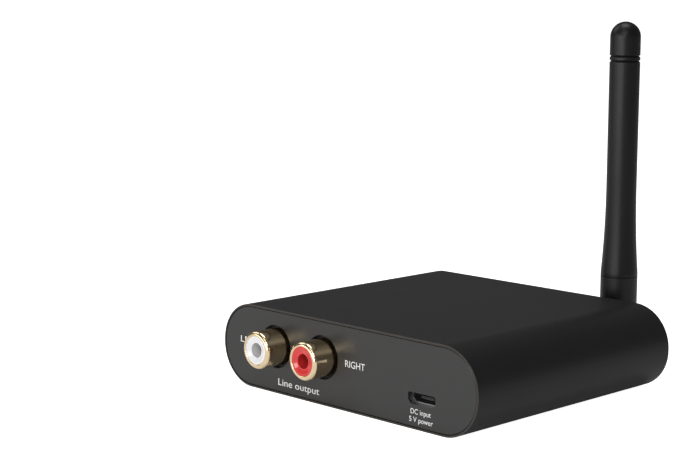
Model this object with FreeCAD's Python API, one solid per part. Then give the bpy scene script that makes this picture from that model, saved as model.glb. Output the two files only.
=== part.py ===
"""Desktop Bluetooth audio receiver: an extruded aluminium sleeve closed by two end panels, with a pair of
RCA output jacks and a DC port at one end, and a tilting 2.4 GHz antenna at the other.

Millimetres. The origin is the middle of the sleeve's underside. +Z is up, +X runs along the jack panel,
and +Y runs from the jack panel to the antenna panel.
"""
import FreeCAD
import Part

import math
import os

# ---- sleeve and end panels
case_width = 77.2
case_height = 19.0
case_length = 65.0
corner_radius = 9.3
sleeve_wall = 1.5
mouth_rim = 0.45
mouth_chamfer = 0.12
panel_thickness = 1.6
panel_recess = 0.05
panel_side_gap = 0.12
panel_edge_chamfer = 0.1
gasket_thickness = 0.2
screw_offset = 3.6
screw_channel_radius = 2.1
screw_core_radius = 0.95
screw_shank_radius = 1.1
screw_length = 7.0
screw_head_radius = 1.9
screw_head_height = 1.1

# ---- circuit board
board_thickness = 1.2
board_top = 5.25
board_inset = 3.7
board_end_gap = 0.35
slot_gap = 0.05
rail_depth = 3.6
rail_thickness = 0.9
hole_gap = 0.2

# ---- RCA jacks
jack_pitch = 15.0
jack_middle_x = -13.6
jack_height = 10.6
barrel_radius = 4.2
barrel_wall = 1.0
barrel_length = 6.05
barrel_seat = 3.6
barrel_seat_wall = 0.6
barrel_lip_radius = 0.75
barrel_lip_inner_radius = 0.15
jack_hole_gap = 0.68
flange_rim = 0.7
flange_thickness = 0.8
flange_depth = 1.6
housing_gap = 0.1
jack_housing_side = 5.6
jack_housing_depth = 9.4
jack_housing_top = 16.3
insulator_setback = 0.05
insulator_rounding = 0.2
insulator_rim = 0.45
socket_radius = 1.62
socket_wall = 0.25
socket_length = 6.0
socket_setback = 3.0
lug_width = 1.6
lug_thickness = 0.4
tail_below_board = 1.3

# ---- DC port
port_x = 23.3
port_height = 2.4
port_width = 7.5
port_wall = 0.3
port_corner = 0.85
port_lift = 0.1
port_depth = 5.5
port_setback = 1.3
port_gap = 0.05
port_rounding = 0.4
port_least_rounding = 0.08
tongue_width = 3.6
tongue_thickness = 0.6
port_contacts = 5
port_contact_pitch = 0.65

# ---- radio and audio parts on the board
module_x = 24.5
module_y = 12.0
module_width = 14.0
module_length = 20.0
module_thickness = 0.8
can_margin = 1.2
can_height = 1.8
can_wall = 0.2
chip_height = 1.0
capacitor_radius = 3.15
capacitor_height = 7.7
capacitor_seat = 1.0
capacitor_gap = 1.0

# ---- antenna's bulkhead jack
antenna_x = 12.4
antenna_height = 9.5
thread_radius = 3.175
thread_reach = 8.2
panel_bore_gap = 0.1
hex_across_flats = 8.0
hex_thickness = 2.0
washer_thickness = 0.55
washer_radius = 4.9
coax_radius = 0.7
coax_gap = 0.05
crimp_radius = 1.75
crimp_length = 4.3

# ---- antenna connector and knuckle
fork_clearance = 0.225
antenna_radius = 4.425
nut_length = 7.0
nut_front_gap = 0.3
nut_back_wall = 1.05
nut_bore_gap = 0.075
core_radius = 2.45
spigot_radius = 2.0
running_gap = 0.05
disc_thickness = 1.85
disc_gap = 0.2
bead_depth = 0.35
stop_radius = 2.9
stop_depth = 0.8
stop_lug_angle = 20.0
swivel_limit = 90.0
stop_slack = 2.0
tongue_half = 2.5
tongue_radius = 3.9
fork_gap = 0.1
pin_radius = 1.0
pin_reach = 1.2

# ---- antenna mast
seam_height = 21.1
seam_gap = 0.06
flare_start = 22.0
flare_end = 42.0
mast_radius = 3.6
mast_top = 82.06
groove_heights = (72.75, 73.9)
groove_half = 0.3
groove_depth = 0.3
mast_bore_radius = 2.3
mast_bore_top = 76.5
collar_spigot_radius = 3.0
collar_spigot_height = 3.0
radiator_radius = 2.15
radiator_bottom = 25.5
radiator_top = 50.0
whip_radius = 0.45
whip_top = 76.0

# ---- pairing button and status light
button_x = -12.0
button_radius = 2.0
button_gap = 0.15
button_proud = 0.6
button_travel = 0.3
plunger_radius = 1.1
light_x = -3.0
light_radius = 1.5
control_height = 9.5

# ---- places worked out from the sizes above
front = -case_length / 2
back = case_length / 2
jack_face = front + panel_recess
jack_panel_back = jack_face + panel_thickness
rear_face = back - panel_recess
rear_panel_back = rear_face - panel_thickness
middle_height = case_height / 2
panel_inset = mouth_rim + panel_side_gap
rebate_front = jack_panel_back + gasket_thickness
board_bottom = board_top - board_thickness
board_front = rebate_front + board_end_gap
board_back = rear_panel_back - board_end_gap
board_half_width = case_width / 2 - board_inset
port_middle = board_top + port_lift + port_height / 2
jack_places = {
    "left": jack_middle_x - jack_pitch / 2,
    "right": jack_middle_x + jack_pitch / 2,
}
screw_places = [side * (case_width / 2 - screw_offset) for side in (-1, 1)]
jack_tip = rear_face + thread_reach
washer_back = rear_face + washer_thickness
panel_nut_back = washer_back + hex_thickness
nut_start = panel_nut_back + nut_front_gap
nut_end = nut_start + nut_length
disc_start = nut_end + disc_gap
disc_end = disc_start + disc_thickness
hinge_y = disc_end + fork_clearance + antenna_radius
spigot_end = disc_end + 1.0
plug_face = jack_tip - 1.8

X = FreeCAD.Vector(1, 0, 0)
Y = FreeCAD.Vector(0, 1, 0)
Z = FreeCAD.Vector(0, 0, 1)


def point(x, y, z):
    return FreeCAD.Vector(x, y, z)


def block(x, y, z):
    """A box from three (low, high) pairs."""
    size = [high - low for low, high in (x, y, z)]
    return Part.makeBox(*size, point(x[0], y[0], z[0]))


def rod(radius, start, end, x, z):
    """A cylinder along +Y."""
    return Part.makeCylinder(radius, end - start, point(x, start, z), Y)


def pipe(outer, inner, start, end, x, z):
    return rod(outer, start, end, x, z).cut(rod(inner, start, end, x, z))


def post(radius, bottom, top, x, y):
    """A cylinder along +Z."""
    return Part.makeCylinder(radius, top - bottom, point(x, y, bottom), Z)


def joined(solids):
    """Several solids fused into one."""
    result = solids[0]
    for solid in solids[1:]:
        result = result.fuse(solid)
    return result.removeSplitter()


def cut_all(solid, tools):
    for tool in tools:
        solid = solid.cut(tool)
    return solid


def rounded_bar(inset, start, end):
    """The sleeve's outline, drawn in by the inset, as a bar along +Y."""
    half_width = case_width / 2 - inset
    low = inset
    high = case_height - inset
    radius = corner_radius - inset
    bar = block((-half_width, half_width), (start, end), (low, high))
    return bar.makeFillet(radius, long_edges(bar))


def long_edges(solid):
    """The straight edges that run along Y."""
    found = []
    for edge in solid.Edges:
        along = edge.Vertexes[-1].Point - edge.Vertexes[0].Point
        if abs(along.y) > 1e-6 and abs(along.x) < 1e-6 and abs(along.z) < 1e-6:
            found.append(edge)
    return found


def edges_at(solid, axis, place):
    """The edges that lie wholly at one place along an axis."""
    found = []
    for edge in solid.Edges:
        box = edge.BoundBox
        low, high = {"y": (box.YMin, box.YMax), "z": (box.ZMin, box.ZMax)}[axis]
        if abs(low - place) < 1e-5 and abs(high - place) < 1e-5:
            found.append(edge)
    return found


def hex_bar(across_flats, start, end, x, z):
    """A hexagonal bar along +Y with two flats upright."""
    corner = across_flats / 2 / math.cos(math.pi / 6)
    corners = []
    for step in range(7):
        angle = math.pi / 6 + step * math.pi / 3
        corners.append(point(x + corner * math.cos(angle), start, z + corner * math.sin(angle)))
    face = Part.Face(Part.makePolygon(corners))
    return face.extrude(point(0, end - start, 0))


def sector(radius, start, end, x, z, middle, angle):
    """A wedge of a round bar along +Y, its middle direction and spread in degrees from +X towards +Z."""
    low = math.radians(middle - angle / 2)
    high = math.radians(middle + angle / 2)
    mid = math.radians(middle)

    def rim(turn):
        return point(x + radius * math.cos(turn), start, z + radius * math.sin(turn))

    centre = point(x, start, z)
    arc = Part.Arc(rim(low), rim(mid), rim(high)).toShape()
    wire = Part.Wire([Part.makeLine(centre, rim(low)), arc, Part.makeLine(rim(high), centre)])
    return Part.Face(wire).extrude(point(0, end - start, 0))


def routed_wire(points, radii):
    """Straight runs joined by tangent arcs."""
    edges = []
    start = points[0]
    for index, radius in enumerate(radii):
        corner = points[index + 1]
        towards = (points[index] - corner).normalize()
        onwards = (points[index + 2] - corner).normalize()
        half_turn = (math.pi - towards.getAngle(onwards)) / 2
        reach = radius * math.tan(half_turn)
        first = corner + towards * reach
        last = corner + onwards * reach
        inward = (towards + onwards).normalize()
        middle = corner + inward * (radius / math.cos(half_turn) - radius)
        edges.append(Part.LineSegment(start, first).toShape())
        edges.append(Part.Arc(first, middle, last).toShape())
        start = last
    edges.append(Part.LineSegment(start, points[-1]).toShape())
    return Part.Wire(edges)


def swept(wire, radius):
    """A round section along a wire."""
    start = wire.Edges[0].Vertexes[0].Point
    along = (wire.Edges[0].Vertexes[-1].Point - start).normalize()
    section = Part.Wire(Part.makeCircle(radius, start, along))
    return wire.makePipeShell([section], True, True)


# ---- sleeve and panels
def sleeve():
    """Extrusion with board slots and screw channels, and a rebate at each mouth for its panel."""
    shell = rounded_bar(0, front, back)
    rims = edges_at(shell, "y", front) + edges_at(shell, "y", back)
    shell = shell.makeChamfer(mouth_chamfer, rims)
    cavity = rounded_bar(sleeve_wall, front, back)
    rails = []
    inner_x = case_width / 2 - sleeve_wall
    for side in (-1, 1):
        span = sorted((side * (inner_x - rail_depth), side * case_width / 2))
        low_rail = (board_bottom - slot_gap - rail_thickness, board_bottom - slot_gap)
        high_rail = (board_top + slot_gap, board_top + slot_gap + rail_thickness)
        for rail in (low_rail, high_rail):
            rails.append(block(span, (front, back), rail))
        channel_x = side * (case_width / 2 - screw_offset)
        web = sorted((channel_x, side * case_width / 2))
        web_half = screw_channel_radius * 0.6
        rails.append(rod(screw_channel_radius, front, back, channel_x, middle_height))
        rails.append(block(web, (front, back), (middle_height - web_half, middle_height + web_half)))
    ribs = joined([rail.common(cavity) for rail in rails])
    body = shell.cut(cavity).fuse(ribs)
    bores = [rod(screw_core_radius, front, back, x, middle_height) for x in screw_places]
    rebates = [
        rounded_bar(mouth_rim, front, rebate_front),
        rounded_bar(mouth_rim, rear_panel_back, back),
    ]
    return cut_all(body, bores + rebates).removeSplitter()


def end_panel(outer_face, inner_face):
    """Plate with a small chamfer round the face that shows."""
    panel = rounded_bar(panel_inset, min(outer_face, inner_face), max(outer_face, inner_face))
    return panel.makeChamfer(panel_edge_chamfer, edges_at(panel, "y", outer_face))


def port_prism(inset, start, end):
    """The DC port's section along +Y: flat top, lower corners cut off, every corner rounded."""
    half = port_width / 2 - inset
    low = board_top + port_lift + inset
    high = low + port_height - 2 * inset
    outline = [
        (-half, high),
        (half, high),
        (half, low + port_corner),
        (half - port_corner, low),
        (-half + port_corner, low),
        (-half, low + port_corner),
        (-half, high),
    ]
    wire = Part.makePolygon([point(port_x + x, start, z) for x, z in outline])
    prism = Part.Face(wire).extrude(point(0, end - start, 0))
    return prism.makeFillet(max(port_rounding - inset, port_least_rounding), long_edges(prism))


def jack_panel():
    panel = end_panel(jack_face, jack_panel_back)
    hole = barrel_radius + jack_hole_gap
    holes = [rod(hole, jack_face, jack_panel_back, x, jack_height) for x in jack_places.values()]
    return cut_all(panel, holes + [port_prism(-port_gap, jack_face, jack_panel_back)])


def jack_panel_gasket():
    """Adhesive ring between the jack panel's edge and the rebate's step."""
    outer = rounded_bar(panel_inset, jack_panel_back, rebate_front)
    return outer.cut(rounded_bar(sleeve_wall, jack_panel_back, rebate_front))


def antenna_panel():
    panel = end_panel(rear_face, rear_panel_back)
    span = (rear_panel_back, rear_face)
    holes = [rod(screw_shank_radius + 0.1, *span, x, middle_height) for x in screw_places]
    holes.append(rod(thread_radius + panel_bore_gap, *span, antenna_x, antenna_height))
    holes.append(rod(button_radius + button_gap, *span, button_x, control_height))
    holes.append(rod(light_radius + button_gap, *span, light_x, control_height))
    return cut_all(panel, holes)


def panel_screws():
    """Two pan-head self-tapping screws with cross recesses, cutting into the sleeve's channels."""
    screws = []
    for x in screw_places:
        tip = rear_face - screw_length
        shank = rod(screw_core_radius, tip, rear_panel_back, x, middle_height)
        shoulder = rod(screw_shank_radius, rear_panel_back, rear_face, x, middle_height)
        head = rod(screw_head_radius, rear_face, rear_face + screw_head_height, x, middle_height)
        head = head.makeFillet(screw_head_height * 0.6, edges_at(head, "y", rear_face + screw_head_height))
        screw = joined([shank, shoulder, head])
        recess = (rear_face + screw_head_height * 0.4, rear_face + screw_head_height)
        for half_width, half_height in ((0.9, 0.2), (0.2, 0.9)):
            arm = (middle_height - half_height, middle_height + half_height)
            screw = screw.cut(block((x - half_width, x + half_width), recess, arm))
        screws.append(screw)
    return Part.makeCompound(screws)


# ---- circuit board
def tail_slot(x, y, half_x, half_y):
    return block(
        (x - half_x - hole_gap, x + half_x + hole_gap),
        (y - half_y - hole_gap, y + half_y + hole_gap),
        (board_bottom, board_top),
    )


def circuit_board():
    board = block((-board_half_width, board_half_width), (board_front, board_back), (board_bottom, board_top))
    slots = []
    flange_start, flange_end = flange_span()
    for x in jack_places.values():
        slots.append(rod(flange_radius() + hole_gap, flange_start - hole_gap, flange_end, x, jack_height))
        slots.append(tail_slot(x, lug_y(), lug_width / 2, lug_thickness / 2))
        slots.append(tail_slot(x, tail_y(), lug_width / 2, lug_thickness / 2))
    for x in light_leads():
        slots.append(tail_slot(x, light_lead_y(), 0.25, 0.25))
    notch_half = hex_across_flats / 2 + 1.0
    notch = block(
        (antenna_x - notch_half, antenna_x + notch_half),
        (rear_panel_back - hex_thickness - 0.5, board_back),
        (board_bottom, board_top),
    )
    return cut_all(board, slots + [notch])


# ---- RCA jacks
def housing_front():
    return jack_panel_back + housing_gap


def flange_span():
    start = housing_front() + flange_depth
    return start, start + flange_thickness


def housing_back():
    return housing_front() + jack_housing_depth


def lug_span():
    """The lugs stand against the back of each flange."""
    start = flange_span()[1]
    return start, start + lug_thickness


def lug_y():
    return sum(lug_span()) / 2


def tail_y():
    return housing_back() + lug_thickness / 2


def barrel_tip():
    return jack_face - barrel_length


def barrel_end():
    return housing_front() + barrel_seat


def seat_radius():
    """Outer radius of the part of a barrel that the housing holds."""
    return barrel_radius - barrel_wall + barrel_seat_wall


def flange_radius():
    return barrel_radius + flange_rim


def insulator_face():
    return barrel_tip() + insulator_setback


def barrel(x):
    """Drawn outer contact with a rolled lip, and a thinner seat with a flange inside the housing."""
    tip = barrel_tip()
    bore = barrel_radius - barrel_wall
    shell = pipe(barrel_radius, bore, tip, housing_front(), x, jack_height)
    rims = sorted(edges_at(shell, "y", tip), key=lambda edge: edge.Length)
    shell = shell.makeFillet(barrel_lip_radius, [rims[-1]])
    rims = sorted(edges_at(shell, "y", tip), key=lambda edge: edge.Length)
    shell = shell.makeFillet(barrel_lip_inner_radius, [rims[0]])
    seat = pipe(seat_radius(), bore, housing_front(), barrel_end(), x, jack_height)
    flange = pipe(flange_radius(), bore, *flange_span(), x, jack_height)
    return joined([shell, seat, flange]).removeSplitter()


def insulator(x):
    """Coloured plastic plug inside the barrel, dished round its central socket."""
    outer = barrel_radius - barrel_wall
    face = insulator_face()
    start = face + socket_setback
    body = rod(outer, face, barrel_end(), x, jack_height)
    body = body.makeFillet(insulator_rounding, edges_at(body, "y", face))
    dish = Part.makeCone(outer - insulator_rim, socket_radius + 0.3, 0.35, point(x, face, jack_height), Y)
    mouth = rod(socket_radius + 0.04, face, start, x, jack_height)
    seat = rod(socket_radius + socket_wall, start, barrel_end(), x, jack_height)
    return cut_all(body, [dish, mouth, seat])


def socket_contact(x):
    """Rolled spring tube, with a tail that runs back and down to the board."""
    start = insulator_face() + socket_setback
    end = start + socket_length
    outer = socket_radius + socket_wall
    tube = pipe(outer, socket_radius, start, end, x, jack_height)
    closed = rod(outer, end, end + 0.4, x, jack_height)
    half = lug_width / 2
    strap_top = jack_height + lug_thickness / 2
    strap = block((x - half, x + half), (end + 0.2, housing_back()), (strap_top - lug_thickness, strap_top))
    down = block(
        (x - half, x + half),
        (housing_back(), housing_back() + lug_thickness),
        (board_bottom - tail_below_board, strap_top),
    )
    return joined([tube, closed, strap, down])


def ground_lugs():
    """Flat tabs that run from each barrel's flange down through the board."""
    lugs = []
    for x in jack_places.values():
        half = lug_width / 2
        lug = block((x - half, x + half), lug_span(), (board_bottom - tail_below_board, jack_height))
        lugs.append(lug.cut(rod(seat_radius(), *lug_span(), x, jack_height)))
    return Part.makeCompound(lugs)


def jack_housing():
    """Moulded block that carries both jacks on the board."""
    low_x = jack_places["left"] - jack_housing_side
    high_x = jack_places["right"] + jack_housing_side
    housing = block((low_x, high_x), (housing_front(), housing_back()), (board_top, jack_housing_top))
    housing = housing.makeFillet(0.6, edges_at(housing, "z", jack_housing_top))
    middle = (jack_places["left"] + jack_places["right"]) / 2
    gap_half = jack_pitch / 2 - jack_housing_side - 0.4
    if gap_half > 0.2:
        relief = (middle - gap_half, middle + gap_half)
        depth = (housing_front(), housing_back() - 2.0)
        housing = housing.cut(block(relief, depth, (board_top, case_height)))
    cuts = []
    start = insulator_face() + socket_setback
    end = start + socket_length
    for x in jack_places.values():
        cuts.append(rod(seat_radius(), housing_front(), barrel_end(), x, jack_height))
        cuts.append(rod(socket_radius + socket_wall, housing_front(), end + 0.4, x, jack_height))
        half = lug_width / 2
        strap_top = jack_height + lug_thickness / 2
        cuts.append(
            block((x - half, x + half), (end, housing_back()), (strap_top - lug_thickness, strap_top))
        )
        cuts.append(block((x - half, x + half), lug_span(), (board_top, jack_height)))
        cuts.append(rod(flange_radius(), *flange_span(), x, jack_height))
    return cut_all(housing, cuts).removeSplitter()


# ---- DC port
def port_front():
    return jack_face + port_setback


def port_shell():
    start = port_front()
    end = start + port_depth
    shell = port_prism(0, start, end).cut(port_prism(port_wall, start, end))
    feet = []
    for side in (-1, 1):
        foot = sorted((port_x + side * (port_width / 2 - 1.0), port_x + side * (port_width / 2 + 0.8)))
        feet.append(block(foot, (board_front + 0.6, board_front + 2.2), (board_top, board_top + 0.25)))
    return joined([shell] + feet)


def tongue_top():
    return port_middle + 0.35


def port_tongue():
    """Moulded insert: a rear wall that fills the shell and a thin tongue."""
    start = port_front()
    end = start + port_depth
    wall = port_prism(port_wall, end - 1.2, end)
    half = tongue_width / 2
    span = (tongue_top() - tongue_thickness, tongue_top())
    tongue = block((port_x - half, port_x + half), (start + 0.6, end - 1.2), span)
    return joined([wall, tongue])


def port_contact_strips():
    strips = []
    start = port_front()
    first = port_x - (port_contacts - 1) / 2 * port_contact_pitch
    low = tongue_top() - tongue_thickness - 0.15
    for index in range(port_contacts):
        x = first + index * port_contact_pitch
        span = (start + 1.0, start + port_depth - 1.2)
        strips.append(block((x - 0.18, x + 0.18), span, (low, low + 0.15)))
    return Part.makeCompound(strips)


# ---- parts on the board
def seated(x, y, width, length, height, base=board_top, edge=0.0):
    """A rectangular package standing on the board, or on another base."""
    body = block((x - width / 2, x + width / 2), (y - length / 2, y + length / 2), (base, base + height))
    if edge:
        body = body.makeChamfer(edge, edges_at(body, "z", base + height))
    return body


def leaded_chip(x, y, width, length, leads, pitch):
    """A moulded package with gull-wing leads down both long sides."""
    lift = 0.1
    body = seated(x, y, width, length, chip_height, board_top + lift, 0.15)
    pieces = [body]
    first = y - (leads - 1) / 2 * pitch
    for index in range(leads):
        lead_y = first + index * pitch
        span = (lead_y - pitch * 0.2, lead_y + pitch * 0.2)
        for side in (-1, 1):
            knee = sorted((x + side * width / 2, x + side * (width / 2 + 0.5)))
            foot = sorted((x + side * (width / 2 + 0.35), x + side * (width / 2 + 1.0)))
            rise = sorted((x + side * (width / 2 + 0.35), x + side * (width / 2 + 0.5)))
            shoulder = (board_top + chip_height * 0.5, board_top + chip_height * 0.5 + 0.15)
            pieces.append(block(knee, span, shoulder))
            pieces.append(block(rise, span, (board_top, shoulder[1])))
            pieces.append(block(foot, span, (board_top, board_top + 0.15)))
    return joined(pieces)


def module_board():
    return seated(module_x, module_y, module_width, module_length, module_thickness)


def module_top():
    return board_top + module_thickness


def can_size():
    return module_width - 2 * can_margin, module_length - 2 * can_margin - 3.0


def shield_can():
    width, length = can_size()
    y = module_y - 1.5
    can = seated(module_x, y, width, length, can_height, module_top(), 0.15)
    inner = [size - 2 * can_wall for size in (width, length)]
    return can.cut(seated(module_x, y, *inner, can_height - can_wall, module_top()))


def radio_chip():
    return seated(module_x, module_y - 3.0, 6.0, 6.0, 0.9, module_top(), 0.1)


def crystal():
    can = seated(module_x + 2.6, module_y + 3.0, 3.2, 2.5, 0.7, module_top(), 0.1)
    return can


def voltage_regulator():
    body = seated(24.0, -18.0, 6.5, 3.5, 1.6, board_top, 0.2)
    tab = block((22.4, 25.6), (-16.25, -14.4), (board_top, board_top + 0.3))
    return body.fuse(tab)


def power_inductor():
    core = post(2.9, board_top, board_top + 2.6, 14.0, -20.0)
    return joined([core.common(seated(14.0, -20.0, 5.0, 5.0, 2.6)), seated(14.0, -20.0, 5.2, 1.6, 0.5)])


def electrolytic_capacitors():
    """Cans standing on square bases, with a crimped groove low on each can."""
    side = 2 * capacitor_radius + 0.3
    behind_jacks = housing_back() + lug_thickness + capacitor_gap + side / 2
    places = [(x, behind_jacks) for x in jack_places.values()] + [(28.0, -9.5), (17.0, -9.5)]
    cans = []
    for x, y in places:
        seat_top = board_top + capacitor_seat
        base = seated(x, y, side, side, capacitor_seat)
        can = post(capacitor_radius, seat_top, board_top + capacitor_height, x, y)
        can = can.makeFillet(0.4, edges_at(can, "z", board_top + capacitor_height))
        groove = post(capacitor_radius + 1, seat_top + 1.0, seat_top + 1.5, x, y)
        groove = groove.cut(post(capacitor_radius - 0.25, seat_top + 1.0, seat_top + 1.5, x, y))
        cans.append(base.fuse(can.cut(groove)))
    return Part.makeCompound(cans)


def small_parts(places, width, length, height):
    return Part.makeCompound([seated(x, y, width, length, height) for x, y in places])


def ceramic_capacitors():
    rows = [(-30.0 + 3.0 * step, -6.0) for step in range(4)]
    rows += [(-16.0, 6.0 + 2.6 * step) for step in range(4)]
    rows += [(8.0, -12.0 + 3.0 * step) for step in range(3)]
    return small_parts(rows, 1.25, 2.0, 0.9)


def resistors():
    rows = [(-31.0 + 2.4 * step, 3.0) for step in range(5)]
    rows += [(4.0, -12.0 + 2.4 * step) for step in range(4)]
    rows += [(-26.0, 10.0 + 2.4 * step) for step in range(3)]
    return small_parts(rows, 1.6, 0.8, 0.45)


# ---- bulkhead jack, nut, washer and lead
def bulkhead_jack():
    """Threaded body through the antenna panel, a hexagon behind the panel and a crimp barrel inside."""
    hex_span = (rear_panel_back - hex_thickness, rear_panel_back)
    hexagon = hex_bar(hex_across_flats, *hex_span, antenna_x, antenna_height)
    thread = rod(thread_radius, rear_panel_back, jack_tip, antenna_x, antenna_height)
    thread = thread.makeChamfer(0.25, edges_at(thread, "y", jack_tip))
    crimp_end = rear_panel_back - hex_thickness
    crimp = rod(crimp_radius, crimp_end - crimp_length, crimp_end, antenna_x, antenna_height)
    body = joined([hexagon, thread, crimp])
    mouth = rod(core_radius - 0.1, plug_face, jack_tip, antenna_x, antenna_height)
    bore = rod(2.05, rear_panel_back - 1.0, plug_face, antenna_x, antenna_height)
    lead_span = (crimp_end - crimp_length, rear_panel_back - 1.0)
    lead = rod(coax_radius + coax_gap, *lead_span, antenna_x, antenna_height)
    return cut_all(body, [mouth, bore, lead])


def bulkhead_insulator():
    start = rear_panel_back - 0.95
    body = rod(2.05, start, plug_face, antenna_x, antenna_height)
    return body.cut(rod(0.62, start, plug_face, antenna_x, antenna_height))


def bulkhead_contact():
    start = rear_panel_back - 0.9
    body = rod(0.62, start, plug_face, antenna_x, antenna_height)
    return body.cut(rod(0.48, plug_face - 3.2, plug_face, antenna_x, antenna_height))


def toothed_washer():
    ring = pipe(washer_radius, thread_radius + 0.3, rear_face, washer_back, antenna_x, antenna_height)
    notches = []
    for step in range(12):
        angle = math.radians(step * 30)
        x = antenna_x + (thread_radius + 0.45) * math.cos(angle)
        z = antenna_height + (thread_radius + 0.45) * math.sin(angle)
        notches.append(rod(0.42, rear_face, washer_back, x, z))
    return cut_all(ring, notches)


def panel_nut():
    nut = hex_bar(hex_across_flats, washer_back, panel_nut_back, antenna_x, antenna_height)
    dome = rod(hex_across_flats / 2 * 1.1, washer_back, panel_nut_back, antenna_x, antenna_height)
    dome = dome.makeChamfer(0.35, edges_at(dome, "y", panel_nut_back))
    nut = nut.common(dome)
    return nut.cut(rod(thread_radius, washer_back, panel_nut_back, antenna_x, antenna_height))


def lead_end():
    """Where the antenna lead meets its plug on the board."""
    return point(-9.0, 17.0, board_top + 1.5)


def antenna_lead():
    """Thin coax from the bulkhead jack's crimp, round in one loose loop to its plug on the board."""
    plug = lead_end()
    level = antenna_height
    route = [
        point(antenna_x, rear_panel_back - 1.05, level),
        point(antenna_x, 7.5, level),
        point(plug.x, 7.5, plug.z),
        plug,
    ]
    return swept(routed_wire(route, [9.0, 4.2]), coax_radius)


def lead_socket():
    plug = lead_end()
    return joined([
        seated(plug.x, plug.y + 1.4, 3.0, 3.0, 0.35),
        post(0.95, board_top + 0.35, board_top + 0.9, plug.x, plug.y + 1.4),
    ])


def lead_plug():
    plug = lead_end()
    cap = post(1.4, board_top + 0.9, plug.z + coax_radius + 0.2, plug.x, plug.y + 1.4)
    crimp = block((plug.x - 1.0, plug.x + 1.0), (plug.y - 1.6, plug.y + 0.4), (plug.z - 0.9, plug.z + 0.9))
    return cut_all(joined([cap, crimp]), [rod(coax_radius, plug.y - 1.6, plug.y, plug.x, plug.z)])


# ---- antenna connector
def plug_core():
    """Connector body of the antenna: front ring, neck inside the nut, lug and grooved spigot."""
    ring = rod(core_radius - 0.15, plug_face, jack_tip, antenna_x, antenna_height)
    neck = rod(core_radius, jack_tip + 0.1, nut_end, antenna_x, antenna_height)
    link = rod(core_radius - 0.3, jack_tip, disc_start, antenna_x, antenna_height)
    spigot = rod(spigot_radius, nut_end, spigot_end, antenna_x, antenna_height)
    lug_start = disc_start + running_gap
    lug_end = disc_start + stop_depth - running_gap
    lug = sector(stop_radius - running_gap, lug_start, lug_end, antenna_x, antenna_height, 90, stop_lug_angle)
    body = joined([ring, neck, link, spigot, lug])
    groove_start, groove_end = groove_span()
    groove = pipe(
        spigot_radius + 1, spigot_radius - bead_depth - running_gap, groove_start, groove_end, antenna_x,
        antenna_height,
    )
    ring_seat = pipe(core_radius + 1, core_radius - 0.3, *retainer_span(), antenna_x, antenna_height)
    bore = rod(1.9, plug_face, jack_tip + 1.2, antenna_x, antenna_height)
    lead_bore = rod(coax_radius + coax_gap, jack_tip + 1.2, spigot_end, antenna_x, antenna_height)
    return cut_all(body, [groove, ring_seat, bore, lead_bore])


def groove_span():
    """The spigot's groove, which the knuckle's bead runs in."""
    middle = disc_end - 0.1
    return middle - 0.3, middle + 0.3


def retainer_span():
    start = nut_end - nut_back_wall - 0.5
    return start, start + 0.4


def nut_retainer():
    """Split ring that holds the coupling nut on the connector body."""
    ring = pipe(core_radius + 0.4, core_radius - 0.3, *retainer_span(), antenna_x, antenna_height)
    start, end = retainer_span()
    half = 0.5
    low = antenna_height - core_radius - 1
    return ring.cut(block((antenna_x - half, antenna_x + half), (start, end), (low, antenna_height)))


def plug_insulator():
    body = rod(1.9, plug_face, jack_tip + 1.2, antenna_x, antenna_height)
    return body.cut(rod(0.45, plug_face, jack_tip + 1.2, antenna_x, antenna_height))


def plug_pin():
    pin = rod(0.45, plug_face - 2.6, jack_tip + 1.2, antenna_x, antenna_height)
    return pin.makeChamfer(0.15, edges_at(pin, "y", plug_face - 2.6))


def coupling_nut():
    """Round nut with flats and a knurled band, running on the jack's thread."""
    body = rod(antenna_radius, nut_start, nut_end, antenna_x, antenna_height)
    ends = edges_at(body, "y", nut_start) + edges_at(body, "y", nut_end)
    body = body.makeChamfer(0.3, ends)
    grooves = []
    count = 24
    for step in range(count):
        angle = 2 * math.pi * step / count
        x = antenna_x + (antenna_radius + 0.12) * math.cos(angle)
        z = antenna_height + (antenna_radius + 0.12) * math.sin(angle)
        grooves.append(rod(0.32, nut_start + 0.9, nut_end - 1.6, x, z))
    body = cut_all(body, grooves)
    thread = rod(thread_radius + nut_bore_gap, nut_start, nut_end - nut_back_wall, antenna_x, antenna_height)
    neck = rod(core_radius + 0.1, nut_start, nut_end, antenna_x, antenna_height)
    return cut_all(body, [thread, neck])


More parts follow.
